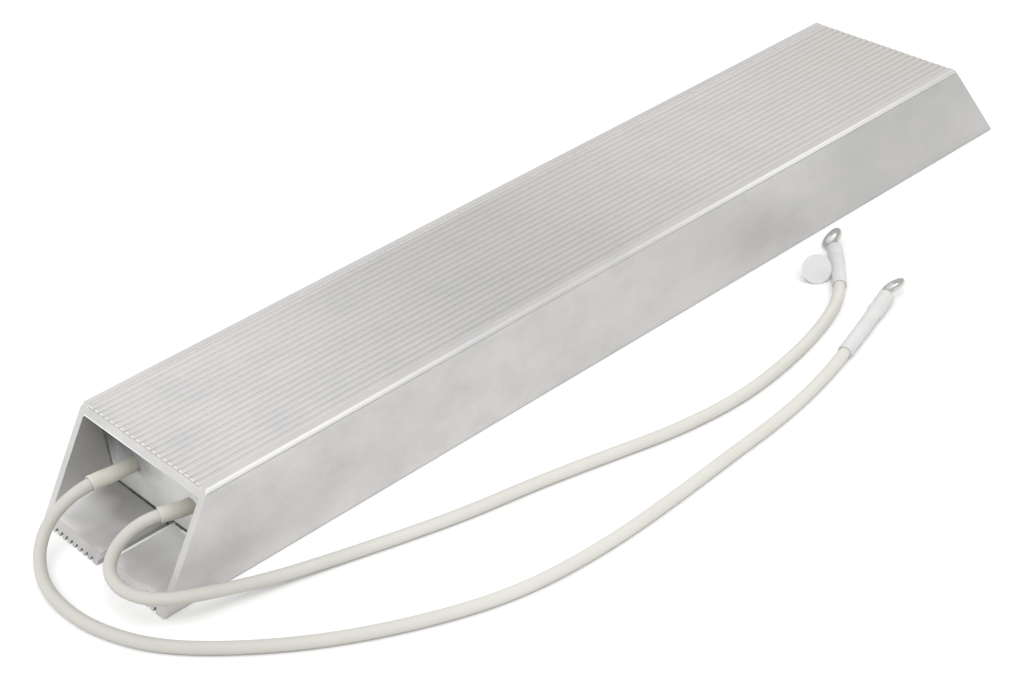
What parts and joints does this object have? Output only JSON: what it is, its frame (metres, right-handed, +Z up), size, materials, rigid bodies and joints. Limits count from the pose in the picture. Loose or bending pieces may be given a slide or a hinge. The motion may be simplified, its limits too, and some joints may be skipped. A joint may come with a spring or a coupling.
{
  "type": "braking resistor",
  "caption": "Flat braking resistor: ribbed extruded aluminium housing with mitred ends and slotted feet, light end boards and limp insulated leads with ring terminals.",
  "frame": {"origin": "middle of the underside of the housing, in the plane of its feet", "axes": "+Y along the housing, away from the leads' end; +Z up from the feet to the ribbed top; +X across, towards the side where the leads lie"},
  "size_m": [0.1258, 0.3529, 0.03],
  "materials": {
    "housing_aluminium": "satin extruded aluminium",
    "end_board": "light pressed board",
    "mica": "mica sheet",
    "filling": "bonded quartz sand",
    "ribbon": "resistance ribbon",
    "strap": "nickel-plated strip",
    "rivet": "plain steel",
    "woven_sleeve": "coated woven glass fibre",
    "lead_insulation": "matt silicone over glass braid",
    "heat_shrink": "white heat-shrink",
    "tinned_copper": "bright tin plate",
    "tag_board": "thin card"
  },
  "bodies": {
    "root": {"housing": "housing_aluminium", "near_end_plate": "end_board", "far_end_plate": "end_board", "mica_liner": "mica", "top_mica_sheet": "mica", "left_winding_card": "mica", "right_winding_card": "mica", "sand_filling": "filling", "left_resistance_winding": "ribbon", "right_resistance_winding": "ribbon", "far_link": "strap", "left_terminal_tab": "strap", "right_terminal_tab": "strap", "left_tab_rivet": "rivet", "right_tab_rivet": "rivet", "left_link_rivet": "rivet", "right_link_rivet": "rivet", "left_sleeve": "woven_sleeve", "right_sleeve": "woven_sleeve", "left_lead": "lead_insulation", "right_lead": "lead_insulation", "left_heat_shrink": "heat_shrink", "right_heat_shrink": "heat_shrink", "left_ring_terminal": "tinned_copper", "right_ring_terminal": "tinned_copper", "round_tag": "tag_board"}
  },
  "joints": []
}
